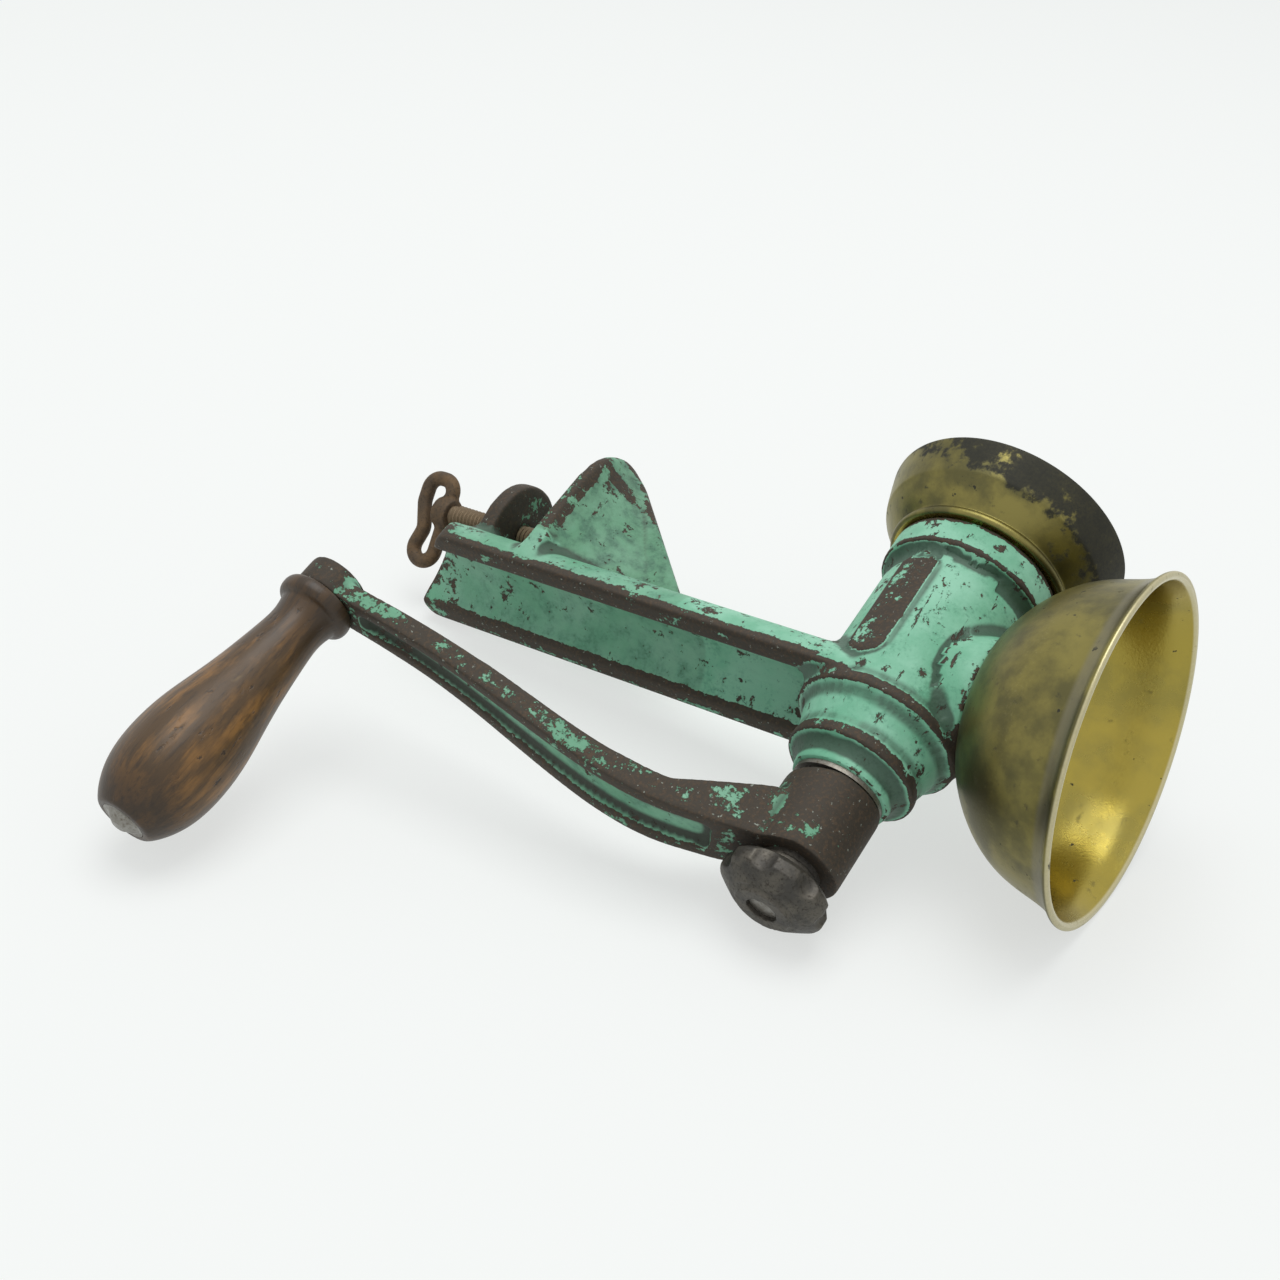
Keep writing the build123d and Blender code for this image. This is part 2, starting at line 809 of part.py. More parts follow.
pad_face = -pad_plate_gap
pad_seat = pad_face - pad_plate_thickness
tip_top = pad_seat + tip_length
loop_hub_top = loop_hub_length / 2 - loop_drop
with BuildPart() as swivel_pad:
    with BuildSketch(Plane.XY.offset(pad_seat)):
        Circle(pad_plate_radius)
    extrude(amount=pad_plate_thickness)
    with BuildSketch(Plane.XY.offset(pad_seat)):
        Circle(screw_tip_radius + grip_gap)
    extrude(amount=tip_length + face_gap, mode=Mode.SUBTRACT)
    chamfer(swivel_pad.edges().group_by(Axis.Z)[-1], cast_edge)

swivel_pad.part.label = "swivel_pad"
export_step(swivel_pad.part, "parts/swivel_pad.step")

with BuildPart() as clamp_screw:
    with BuildSketch(Plane.YZ):
        with BuildLine():
            Polyline(
                (0, tip_top),
                (screw_tip_radius, tip_top),
                (screw_tip_radius, pad_seat - face_gap),
                (screw_radius, pad_seat - face_gap),
                (screw_radius, loop_hub_top),
                (tail_radius, loop_hub_top),
                (tail_radius, loop_hub_top - loop_hub_length + cast_edge),
                (0, loop_hub_top - loop_hub_length + cast_edge),
                close=True,
            )
        make_face()
    revolve(axis=Axis.Z)

clamp_screw.part.label = "clamp_screw"
export_step(clamp_screw.part, "parts/clamp_screw.step")

loop_angle = radians(loop_turn)
loop_along = Vector(sin(loop_angle), -cos(loop_angle), 0)
loop_across = loop_along.cross(Vector(0, 0, 1))
loop_plane = Plane(origin=(0, 0, -loop_drop), x_dir=loop_along, z_dir=loop_across)
loop_middle = (loop_right - loop_left) / 2
with BuildPart() as thumb_loop:
    with BuildLine(loop_plane) as loop_line:
        FilletPolyline(
            (loop_right, 0),
            (-loop_left, 0),
            (-loop_left, -loop_height),
            (2 * loop_middle, loop_dent - loop_height),
            (-loop_middle / 2, -loop_height),
            (loop_right, -loop_height),
            radius=loop_bend,
            close=True,
        )
    loop_path = loop_line.wires()[0]
    with BuildSketch(Plane(origin=loop_path @ 0, z_dir=loop_path % 0)):
        Circle(loop_rod_radius)
    sweep(path=loop_path)
    with BuildSketch(Plane.XY.offset(loop_hub_top)):
        Circle(loop_hub_radius)
    extrude(amount=-loop_hub_length)
    with BuildSketch(Plane.XY.offset(loop_hub_top)):
        Circle(tail_radius + seat_gap)
    extrude(amount=-loop_hub_length + cast_edge / 2, mode=Mode.SUBTRACT)

thumb_loop.part.label = "thumb_loop"
export_step(thumb_loop.part, "parts/thumb_loop.step")
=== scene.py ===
# %% [markdown]
# # A poppy seed mill, lying on a pale table
# The mill is a green painted casting with a brass hopper and a brass bell, a crank with a wooden
# grip, and a clamp screw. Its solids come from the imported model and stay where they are. This
# lesson rebuilds the pieces whose real edges are soft, cast or spun, paints all of them with
# worn finishes, and then lights the mill as a studio photograph.

# %% Load the frame
from math import pi, radians

import bpy
import numpy as np
from mathutils import Matrix, Vector


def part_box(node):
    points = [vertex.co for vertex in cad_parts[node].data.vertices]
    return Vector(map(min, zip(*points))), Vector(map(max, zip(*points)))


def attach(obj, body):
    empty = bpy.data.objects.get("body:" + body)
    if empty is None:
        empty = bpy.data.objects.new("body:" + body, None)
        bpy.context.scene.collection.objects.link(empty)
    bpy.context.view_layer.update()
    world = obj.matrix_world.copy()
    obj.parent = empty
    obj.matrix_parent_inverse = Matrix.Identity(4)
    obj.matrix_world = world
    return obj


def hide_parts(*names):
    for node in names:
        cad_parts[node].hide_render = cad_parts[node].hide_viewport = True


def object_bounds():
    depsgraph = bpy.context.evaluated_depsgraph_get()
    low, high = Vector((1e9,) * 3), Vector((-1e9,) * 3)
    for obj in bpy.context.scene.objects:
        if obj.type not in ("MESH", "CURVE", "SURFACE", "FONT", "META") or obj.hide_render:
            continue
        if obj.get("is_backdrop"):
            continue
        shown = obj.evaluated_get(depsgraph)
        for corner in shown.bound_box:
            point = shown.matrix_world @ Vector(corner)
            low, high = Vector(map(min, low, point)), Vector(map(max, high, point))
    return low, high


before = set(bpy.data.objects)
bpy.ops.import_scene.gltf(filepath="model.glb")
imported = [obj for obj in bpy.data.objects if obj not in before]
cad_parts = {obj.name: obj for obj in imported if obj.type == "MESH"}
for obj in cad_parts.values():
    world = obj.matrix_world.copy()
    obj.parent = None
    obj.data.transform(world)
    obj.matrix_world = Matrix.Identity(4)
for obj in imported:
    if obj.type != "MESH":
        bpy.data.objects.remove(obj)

MM = 0.001
cad_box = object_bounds()
bpy.ops.object.select_all(action="DESELECT")
print("nodes in the frame:", len(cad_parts))

# %% [markdown]
# ## The camera first
# The photograph was taken from above the lying mill, so in the mill's own upright frame the
# camera is rolled. A camera looks along its own -Z, so its place is kept as a point, the way
# back from the scene, and the way up. A square picture and a 40 degree view give the lens.

# %% The photograph's camera
CAMERA_PLACE = Vector((381.9, 276.4, 313.4)) * MM
CAMERA_BACK = Vector((0.717, 0.475, 0.510)).normalized()
CAMERA_UP = Vector((0.659, -0.699, -0.276))
VIEW_ANGLE = radians(40.0)

across = CAMERA_UP.cross(CAMERA_BACK).normalized()
upward = CAMERA_BACK.cross(across)
camera = bpy.data.objects.new("camera", bpy.data.cameras.new("camera"))
bpy.context.scene.collection.objects.link(camera)
camera.data.sensor_fit = "HORIZONTAL"
camera.data.angle = VIEW_ANGLE
camera.data.clip_start = 0.01
turn = Matrix((across, upward, CAMERA_BACK)).transposed().to_4x4()
camera.matrix_world = Matrix.Translation(CAMERA_PLACE) @ turn
bpy.context.scene.camera = camera
print("camera lens in millimetres:", round(camera.data.lens, 2))

# %% [markdown]
# ## Shader maths as plain sums
# A material is a net of nodes. Drawing it node by node hides the idea, so one small class wraps
# an output socket: adding or multiplying two wires adds a Math node, and one method makes any
# other node from its type, its settings and its inputs.

# %% A wire of a material
class Wire:
    """One output socket of a material. Sums of wires become Math nodes."""

    def __init__(self, socket):
        self.socket = socket

    def node(self, kind, out=0, settings=(), inputs=()):
        """Adds a node of this kind and gives the wire from its output."""
        tree = self.socket.id_data
        made = tree.nodes.new(kind)
        for key, value in dict(settings).items():
            setattr(made, key, value)
        for key, value in dict(inputs).items():
            if isinstance(value, Wire):
                tree.links.new(value.socket, made.inputs[key])
            else:
                made.inputs[key].default_value = value
        return Wire(made.outputs[out]) if len(made.outputs) else made

    def math(self, how, first, second):
        return self.node(
            "ShaderNodeMath", settings={"operation": how}, inputs={0: first, 1: second}
        )

    def __add__(self, other):
        return self.math("ADD", self, other)

    def __radd__(self, other):
        return self.math("ADD", other, self)

    def __sub__(self, other):
        return self.math("SUBTRACT", self, other)

    def __rsub__(self, other):
        return self.math("SUBTRACT", other, self)

    def __mul__(self, other):
        return self.math("MULTIPLY", self, other)

    def __rmul__(self, other):
        return self.math("MULTIPLY", other, self)

    def most(self, other):
        return self.math("MAXIMUM", self, other)

    def rise(self, low, high):
        """0 below low, 1 above high, and smooth between them."""
        return self.node(
            "ShaderNodeMapRange",
            settings={"interpolation_type": "SMOOTHSTEP"},
            inputs={0: self, 1: low, 2: high},
        )


# %% [markdown]
# Three more helpers: the object coordinates that every pattern starts from, a cloud of noise
# whose grain is given in millimetres, and a colour that goes from one to another with a wire.
# Colours are written as they look on a screen and turned to the linear values that light uses.

# %% Colours and clouds
def tone(red, green, blue):
    """A screen colour, 0 to 255, as a linear colour with alpha."""
    shares = [c / 255 for c in (red, green, blue)]
    return tuple(((c + 0.055) / 1.055) ** 2.4 for c in shares) + (1.0,)


def new_finish(name):
    """A fresh material and the wire of its object coordinates."""
    material = bpy.data.materials.new(name)
    material.use_nodes = True
    material.node_tree.nodes.clear()
    coordinates = material.node_tree.nodes.new("ShaderNodeTexCoord")
    return material, Wire(coordinates.outputs["Object"])


def cloud(place, grain, detail=3.0, roughness=0.5, stretch=(1, 1, 1), shift=0.0):
    """Noise with spots about grain millimetres across, from 0 to 1."""
    moved = place.node(
        "ShaderNodeMapping",
        inputs={"Vector": place, "Location": (shift, shift, shift), "Scale": stretch},
    )
    return place.node(
        "ShaderNodeTexNoise",
        inputs={
            "Vector": moved, "Scale": 1 / (grain * MM), "Detail": detail, "Roughness": roughness
        },
    )


def between(amount, first, second):
    """The first colour where amount is 0 and the second where it is 1."""
    return amount.node(
        "ShaderNodeMix",
        out=2,
        settings={"data_type": "RGBA"},
        inputs={0: amount, 6: first, 7: second},
    )


def painted_mark(place, name):
    """The value that a piece's points carry under this name."""
    return place.node("ShaderNodeAttribute", out=2, settings={"attribute_name": name})


def lay(material, place, height=None, depth=0.1, shine=0.5, **channels):
    """Ends a finish: the shader, its varying channels, and a bump of this depth in millimetres."""
    inputs = {key.replace("_", " ").title(): value for key, value in channels.items()}
    inputs["Specular IOR Level"] = shine
    if height is not None:
        inputs["Normal"] = place.node(
            "ShaderNodeBump", inputs={"Strength": 1.0, "Distance": depth * MM, "Height": height}
        )
    shader = place.node("ShaderNodeBsdfPrincipled", inputs=inputs)
    place.node("ShaderNodeOutputMaterial", inputs={"Surface": shader})
    print("finish", material.name, "has", len(material.node_tree.nodes), "nodes")
    return material


# %% [markdown]
# ## Worn green paint
# The casting and the crank were painted a mint green that has gone chalky, chipped on every
# ridge and collected dark grime in the corners. The iron under it is nearly black brown. Each
# point of those pieces carries a mark called edge, above 0 on ridges and below 0 in corners,
# so the chips follow the shape. Clouds of noise break them up.

# %% The green paint
MINT = tone(116, 184, 150)
MINT_PALE = tone(148, 208, 178)
MINT_DEEP = tone(72, 136, 108)
BARE_IRON = tone(66, 60, 52)
BARE_RUST = tone(86, 72, 58)
WHITE_CHIP_AND_GLINT = tone(176, 186, 174)
GRIME = tone(44, 44, 36)
MOSS = tone(86, 120, 86)
MOSS_DARK = tone(52, 76, 58)


def worn_paint(name, chip_line, grime_share):
    """Mint paint, bare iron where the marks and the clouds add up past chip_line."""
    material, place = new_finish(name)
    edge = painted_mark(place, "edge")
    rubbed = painted_mark(place, "rubbed")
    aged_and_shaded = painted_mark(place, "aged_and_shaded")
    broad = cloud(place, 22, 4, 0.6)
    middle = cloud(place, 5.5, 6, 0.62, shift=3.0)
    fine = cloud(place, 1.1, 4, 0.6, shift=7.0)
    wear = edge * 0.42 + rubbed * 0.3 + middle * 0.8 + fine * 0.4 + broad * 0.5
    chips = wear.rise(chip_line, chip_line + 0.05)
    spots = cloud(place, 7.5, 5, 0.7, shift=11.0).rise(0.605, 0.635)
    scuffs = cloud(place, 3.2, 5, 0.7, (1, 0.25, 1), 17.0).rise(0.635, 0.675)
    bare = chips.most(spots).most(scuffs)
    dirt = ((0 - edge) * 1.4 + broad * 0.5 - 0.2).rise(0.1, 0.75) * grime_share
    paint = between(broad.rise(0.35, 0.65), MINT, MINT_PALE)
    paint = between((middle * 0.6 + fine * 0.4).rise(0.5, 0.68) * 0.55, paint, MINT_DEEP)
    # Darker mossy paint by the place mark: partly aged paint, partly painted shade.
    old_and_shaded_paint = between(middle.rise(0.42, 0.62), MOSS, MOSS_DARK)
    paint = between(aged_and_shaded * (0.35 + middle * 0.9), paint, old_and_shaded_paint)
    paint = between(dirt, paint, GRIME)
    iron = between(fine.rise(0.45, 0.7), BARE_IRON, BARE_RUST)
    # Pale specks on the bare iron: white chips, partly painted glints.
    iron = between(cloud(place, 1.3, 4, 0.6, shift=29.0).rise(0.66, 0.7) * 0.6, iron, WHITE_CHIP_AND_GLINT)
    sand = cloud(place, 1.6, 3, 0.6, shift=23.0)
    return lay(
        material,
        place,
        height=sand * 0.5 + fine * 0.25 - bare * 0.6,
        depth=0.28,
        base_color=between(bare, paint, iron),
        roughness=0.42 + fine * 0.2 + bare * 0.15,
        metallic=bare * 0.35,
        shine=0.35,
    )


casting_paint = worn_paint("casting_paint", 0.99, 0.8)
crank_paint = worn_paint("crank_paint", 0.82, 0.95)

# %% [markdown]
# ## Brass
# Spun brass goes dull olive brown outside, where hands touch it, and stays golden inside, where
# the seed rubs it. A grey stripe of tarnish runs under the hopper's lip. The mark called inner
# is 1 on the inside of a spun piece, and height above the table separates the bands.

# %% The brass of the hopper and of the bell
BRASS_BRIGHT = tone(222, 212, 156)
BRASS_GOLD = tone(162, 146, 68)
BRASS_OLIVE = tone(130, 122, 70)
BRASS_DULL = tone(96, 92, 60)
BRASS_GREY = tone(126, 122, 102)
RIM_WORN = tone(190, 182, 146)
TARNISH = tone(46, 46, 38)
HOPPER_TOP = 0.1895      # metres, like the object coordinates
BURN_START = 0.0465
MILL_HEIGHT = 125.0      # millimetres from the table top to the mill's axis


def rim_burn(place, broad, middle):
    """Black tarnish that spreads from the bell's rim towards its neck."""
    forward = 0 - place.node("ShaderNodeSeparateXYZ", out=1, inputs={0: place})
    height = place.node("ShaderNodeSeparateXYZ", out=2, inputs={0: place})
    clouds = (broad - 0.5) * 2.6 + (middle - 0.5) * 3.2
    towards_rim = (forward - BURN_START) * 95 + (height - MILL_HEIGHT * MM) * 22
    return (towards_rim + clouds).rise(0.0, 0.55)


def spun_brass(name, lip_stripe, dark_share, burns=False):
    """Brass, olive outside and golden inside."""
    material, place = new_finish(name)
    inner = painted_mark(place, "inner")
    edge = painted_mark(place, "edge")
    broad = cloud(place, 18, 5, 0.6)
    middle = cloud(place, 4.2, 6, 0.65, shift=5.0)
    fine = cloud(place, 0.8, 4, 0.6, shift=9.0)
    outside = between(broad.rise(0.38, 0.62), BRASS_OLIVE, BRASS_DULL)
    inside = between(broad.rise(0.42, 0.75) * 0.6, BRASS_GOLD, BRASS_OLIVE)
    metal = between(inner, outside, inside)
    below_lip = HOPPER_TOP - place.node("ShaderNodeSeparateXYZ", out=2, inputs={0: place})
    stripe = below_lip.rise(0.0012, 0.0026) * (1 - below_lip.rise(0.0045, 0.0062)) * lip_stripe
    bright = (edge * 1.3 + fine * 0.25).rise(0.35, 0.6)
    metal = between(stripe * (1 - inner) * 0.6, metal, BRASS_GREY)
    stains = middle.rise(0.6, 0.72) * dark_share * (1 - inner * 0.5)
    pitted = cloud(place, 14, 2, shift=8.0).rise(0.5, 0.55)
    pits = cloud(place, 2.6, 3, 0.5, shift=15.0).rise(0.7, 0.73) * pitted
    stains = stains.most(pits * 0.9)
    if burns:
        burnt = rim_burn(place, broad, middle)
        stains = stains.most(burnt * (0.62 + fine * 0.35 + middle * 0.3))
    metal = between(stains, metal, TARNISH)
    metal = between(bright * 0.85, metal, BRASS_BRIGHT)
    rim = (1 - below_lip.rise(0.0002, 0.0008)) * (1 - stains) * lip_stripe
    metal = between(rim * (0.65 + fine * 0.5), metal, RIM_WORN)
    return lay(
        material,
        place,
        height=fine * 0.4 + middle * 0.4,
        depth=0.09,
        base_color=metal,
        roughness=0.3 + broad * 0.2 + stains * 0.3 - inner * 0.15,
        metallic=0.95 - stains * 0.5,
    )


hopper_brass = spun_brass("hopper_brass", 1.0, 0.55)
bell_brass = spun_brass("bell_brass", 0.0, 0.7, burns=True)

# %% [markdown]
# ## Bare metals
# The nut and the grinding parts are dark iron, the shaft and the washers are worn steel, and the
# clamp screw is rusty. They share one recipe: two clouded tones, a third on the ridges, and
# pits as bump.

# %% Iron, steel and rust
RIDGE_LINE = 0.45


def bare_metal(name, tones, ridge, roughness, metallic, pits):
    """Two clouded tones with a third in fine spots, ridges rubbed bright, pits in millimetres."""
    material, place = new_finish(name)
    edge = painted_mark(place, "edge")
    broad = cloud(place, 6, 5, 0.65)
    fine = cloud(place, 0.9, 5, 0.65, shift=4.0)
    metal = between(broad.rise(0.36, 0.64), tones[0], tones[1])
    metal = between(fine.rise(0.5, 0.72), metal, tones[2])
    rubbed = (edge * 1.4 + fine * 0.3).rise(RIDGE_LINE, RIDGE_LINE + 0.25)
    return lay(
        material,
        place,
        height=fine * 0.6 + broad * 0.4,
        depth=pits,
        base_color=between(rubbed, metal, ridge),
        roughness=roughness + fine * 0.25 - rubbed * 0.12,
        metallic=metallic,
    )


dark_iron = bare_metal(
    "dark_iron",
    tones=(tone(70, 68, 64), tone(92, 88, 80), tone(52, 48, 42)),
    ridge=tone(150, 142, 124),
    roughness=0.38,
    metallic=0.75,
    pits=0.12,
)
worn_steel = bare_metal(
    "worn_steel",
    tones=(tone(150, 148, 142), tone(122, 118, 110), tone(96, 88, 76)),
    ridge=tone(206, 204, 198),
    roughness=0.3,
    metallic=0.9,
    pits=0.05,
)
rusty_steel = bare_metal(
    "rusty_steel",
    tones=(tone(82, 68, 52), tone(106, 84, 58), tone(56, 48, 40)),
    ridge=tone(132, 114, 90),
    roughness=0.55,
    metallic=0.35,
    pits=0.25,
)

# %% [markdown]
# ## The grip's wood
# The grip is a turned hardwood, brown from use, with its old orange varnish left in patches. The
# grain runs along the grip, so its cloud is squeezed to a tenth along Y.

# %% Worn wood
WOOD_BROWN = tone(82, 62, 38)
WOOD_DARK = tone(40, 32, 24)
WOOD_ORANGE = tone(150, 108, 56)
WOOD_PALE = tone(186, 162, 112)

worn_wood, place = new_finish("worn_wood")
edge = painted_mark(place, "edge")
grain = cloud(place, 1.1, 6, 0.6, (1, 0.07, 1))
streaks = cloud(place, 4.0, 5, 0.6, (1, 0.16, 1), 6.0)
patches = cloud(place, 20, 4, 0.6, (1, 0.6, 1), 13.0)
dents = cloud(place, 3.0, 4, 0.6, (1, 0.5, 1), 19.0)
wood = between(streaks.rise(0.44, 0.66) * 0.7, WOOD_BROWN, WOOD_ORANGE)
wood = between(patches.rise(0.5, 0.62) * 0.7, wood, WOOD_BROWN)
wood = between(patches.rise(0.66, 0.72) * 0.6, wood, WOOD_PALE)
forward = place.node("ShaderNodeSeparateXYZ", out=1, inputs={0: place})
# Painted shade: the grip darker towards its neck and towards its end, in streaks.
shaded_ends = (1 - forward.rise(0.084, 0.106)).most(forward.rise(0.142, 0.158))
wood = between(shaded_ends * (0.45 + streaks * 0.5), wood, WOOD_DARK)
wood = between(grain.rise(0.5, 0.68) * 0.5, wood, WOOD_DARK)
wood = between(dents.rise(0.66, 0.7).most((0 - edge).rise(0.2, 0.6)) * 0.8, wood, WOOD_DARK)
worn_wood = lay(
    worn_wood,
    place,
    height=grain * 0.5 - dents.rise(0.62, 0.7) * 0.5,
    depth=0.16,
    base_color=wood,
    roughness=0.24 + patches * 0.3,
    shine=0.4,
)

# %% [markdown]
# ## Helpers at the bench
# A modifier that is applied at once works like a tool in the hand. Marks are numbers that the
# points of a mesh carry to its material. The edge mark compares a piece with a smoothed copy:
# smoothing pulls ridges in and pushes corners out.

# %% Tools that are applied at once
def work(piece, kind, **settings):
    """Puts one modifier on the piece and applies it."""
    bpy.context.view_layer.objects.active = piece
    tool = piece.modifiers.new(kind.lower(), kind)
    for key, value in settings.items():
        setattr(tool, key, value)
    bpy.ops.object.modifier_apply(modifier=tool.name)


def points_of(piece, what="vertices"):
    values = np.zeros(3 * len(piece.data.vertices))
    if what == "vertices":
        piece.data.vertices.foreach_get("co", values)
    else:
        piece.data.vertex_normals.foreach_get("vector", values)
    return values.reshape(-1, 3)


def move_points(piece, spots):
    """Puts the points of a piece at these places, in metres."""
    piece.data.vertices.foreach_set("co", spots.ravel())
    piece.data.update()


def ramp(values, start, end):
    """0 at start, 1 at end, and clipped beyond them."""
    return ((values - start) / (end - start)).clip(0, 1)


def mark(piece, name, values):
    layer = piece.data.attributes.new(name, "FLOAT", "POINT")
    layer.data.foreach_set("value", np.asarray(values, np.float32))


def mark_edges(piece, passes, depth):
    """Marks ridges above 0 and corners below 0; depth in millimetres gives 1."""
    ghost = bpy.data.objects.new("ghost", piece.data.copy())
    bpy.context.scene.collection.objects.link(ghost)
    work(ghost, "SMOOTH", factor=0.5, iterations=passes)
    pull = ((points_of(piece) - points_of(ghost)) * points_of(piece, "normals")).sum(1)
    mesh = ghost.data
    bpy.data.objects.remove(ghost)
    bpy.data.meshes.remove(mesh)
    mark(piece, "edge", np.clip(pull / (depth * MM), -1, 1))


def dress(piece, finish, body):
    """Gives a finished piece its material and body, and smooths its shading by angle."""
    piece.data.materials.clear()
    piece.data.materials.append(finish)
    bpy.context.view_layer.objects.active = piece
    piece.select_set(True)
    bpy.ops.object.shade_smooth_by_angle(angle=radians(38))
    piece.select_set(False)
    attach(piece, body)
    print(piece.name, len(piece.data.polygons), "faces")


# %% [markdown]
# ## Cast and forged pieces
# Sand casting leaves no sharp edge. A copy of each cast solid is merged, filled along its inner
# corners by swelling it, rebuilding it in small even faces and shrinking it again, and then
# smoothed. That rounds each ridge and corner as a foundry pattern would.

# %% Soften a copy of a solid
def soften(node, name, grain, swell, passes, added=None):
    """A copy of a node in even faces of grain millimetres, with rounded ridges and corners."""
    piece = bpy.data.objects.new(name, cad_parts[node].data.copy())
    bpy.context.scene.collection.objects.link(piece)
    bpy.context.view_layer.objects.active = piece
    if added:
        added.select_set(True)
        piece.select_set(True)
        bpy.ops.object.join()
        piece.select_set(False)
    bpy.ops.object.mode_set(mode="EDIT")
    bpy.ops.mesh.select_all(action="SELECT")
    bpy.ops.mesh.remove_doubles(threshold=0.001 * MM)
    bpy.ops.object.mode_set(mode="OBJECT")
    work(piece, "REMESH", mode="VOXEL", voxel_size=grain * MM)
    if swell:
        work(piece, "DISPLACE", strength=swell * MM, mid_level=0.0)
        work(piece, "REMESH", mode="VOXEL", voxel_size=grain * MM)
        work(piece, "DISPLACE", strength=-swell * MM, mid_level=0.0)
    work(piece, "SMOOTH", factor=0.5, iterations=passes)
    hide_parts(node)
    return piece


# %% [markdown]
# The jaw's gusset spreads into the tongue like a leaf, so its two hollow flanks are filled
# before the casting is softened. A flat grid is bent into that leaf: its half width follows the
# tongue's outline, its ridge climbs the gusset, and its sides fall away from the ridge.

# %% The casting and the leaf of its jaw
JAW_HALF = 22.5          # half the width of the tongue and of the arm
JAW_ROUND = -14.0        # centre of the tongue's round end, along Y
RIDGE_START = -34.5
RIDGE_RUN = 46.5
RIDGE_FOOT, RIDGE_TOP = 5.0, 53.0
LEAF_START, LEAF_END = -34.0, 13.0
LEAF_INSET = 1.0
LEAF_SIDE = 4.5          # height of the leaf's sides, inside the tongue
LEAF_HOLLOW = 1.7        # above 1 the flanks are hollow
LEAF_THICK = 3.0

bpy.ops.mesh.primitive_grid_add(x_subdivisions=8, y_subdivisions=16, size=2)
leaf = bpy.context.object
spots = points_of(leaf)
across_jaw, along_jaw = spots[:, 0].copy(), (spots[:, 1] + 1) / 2
y = LEAF_START + (LEAF_END - LEAF_START) * along_jaw
round_end = np.sqrt((JAW_HALF ** 2 - (y - JAW_ROUND) ** 2).clip(4))
half = np.where(y < JAW_ROUND, round_end, JAW_HALF) - LEAF_INSET
ridge = RIDGE_FOOT + (RIDGE_TOP - RIDGE_FOOT) * ((y - RIDGE_START) / RIDGE_RUN).clip(0, 1)
spots[:, 0] = across_jaw * half
spots[:, 1] = y
spots[:, 2] = LEAF_SIDE + (ridge - LEAF_SIDE) * (1 - abs(across_jaw)) ** LEAF_HOLLOW
move_points(leaf, spots * MM)
leaf.select_set(False)
work(leaf, "SOLIDIFY", thickness=LEAF_THICK * MM, offset=-1.0)
casting = soften("body_casting", "casting", grain=0.9, swell=1.8, passes=4, added=leaf)
print("points of the softened casting:", len(casting.data.vertices))

# %% [markdown]
# The foundry's pattern gets its last touches by moving points. The tongue thins towards its
# edge, and the lug for the screw is a little wider than a plain round.

# %% The tongue's edge and the lug
ARM_FACE = 11.0          # just in front of the arm's back
TONGUE_TOP = 7.0
EDGE_FALL = 9.0          # the tongue starts to thin this far from its edge
EDGE_THINNER = 0.45
LUG_LOW, LUG_HIGH = -28, -18
LUG_WIDER = 0.14

spots = points_of(casting) / MM
x, y, z = spots.T        # x, y and z are views, so changing them changes spots
tongue = (z > -1) & (z < TONGUE_TOP) & (y < ARM_FACE)
to_edge = JAW_HALF - np.where(y < JAW_ROUND, np.hypot(x, y - JAW_ROUND), abs(x))
thin = np.where(tongue, ramp(to_edge, EDGE_FALL, 0) ** 1.5, 0)
z[:] = np.where(tongue & (z > 0), z * (1 - EDGE_THINNER * thin), z)
lug = (z < LUG_HIGH) & (z > LUG_LOW) & (y < ARM_FACE)
widest = ramp(np.hypot(x, y), 8, 14) * ramp(y, ARM_FACE, 3)
wider = np.where(lug, 1 + LUG_WIDER * widest, 1)
x *= wider
y *= wider
print("points of the tongue and of the lug:", tongue.sum(), lug.sum())

# %% [markdown]
# A bare raised pad lies along the barrel. The solid's pad is pressed back to the barrel first,
# and then a slot shape is lifted in its true place. Turns go up from +X, round the mill's axis.

# %% The bare pad on the barrel
BARREL = 23.0
PRESSED = 22.95
PAD_MIDDLE = -2.0        # along Y
SOLID_PAD_TURN = 18.0
PAD_TURN = -18.0
PAD_REACH, PAD_HALF = 14.5, 5.5
PAD_LIFT = 0.85
PAD_SLOPE = 0.9

out = np.hypot(x, z - MILL_HEIGHT)
turn_up = np.degrees(np.arctan2(z - MILL_HEIGHT, x))
from_middle = abs(y - PAD_MIDDLE)
raised = (out > 22.2) & (out < 24.3) & (from_middle < 22.5)
raised &= abs(turn_up - SOLID_PAD_TURN) < 23
inward = np.where(raised, PRESSED / out, 1)
side_way = np.radians(turn_up - PAD_TURN) * BARREL
end_way = (from_middle - PAD_REACH).clip(0)
to_pad = np.hypot(end_way, side_way) - PAD_HALF
on_barrel = (out > 22) & (out < 25) & (abs(turn_up) < 60) & (from_middle < 22)
lift = (1 - (to_pad / PAD_SLOPE).clip(0, 1)) * on_barrel
scale = inward * (1 + PAD_LIFT * lift / BARREL)
x *= scale
z[:] = MILL_HEIGHT + (z - MILL_HEIGHT) * scale
move_points(casting, spots * MM)
print("points lifted for the pad:", (lift > 0).sum())

# %% [markdown]
# Smoothing melts the leaf into the tongue. It works on a group of points that shrinks with each
# of three rounds, so that the group's border fades. Two marks then follow: rubbed, where hands
# wore the paint to bare metal, and a second mark for darker paint by place, partly aged paint and
# partly painted shade.

# %% Smooth the jaw, mark the wear and the painted shade
facing_up = points_of(casting, "normals")[:, 2]
for step in range(3):
    leaf_face = (y < 11.5 - step) & (z > 0.8 + 0.5 * step) & (z < 54 - step)
    leaf_face &= facing_up > -0.25 + 0.2 * step
    jaw = casting.vertex_groups.new(name="jaw")
    jaw.add(np.flatnonzero(leaf_face).tolist(), 1.0, "REPLACE")
    work(casting, "SMOOTH", factor=0.5, iterations=6 + 16 * step, vertex_group=jaw.name)
casting.vertex_groups.clear()
mark_edges(casting, 16, 0.35)

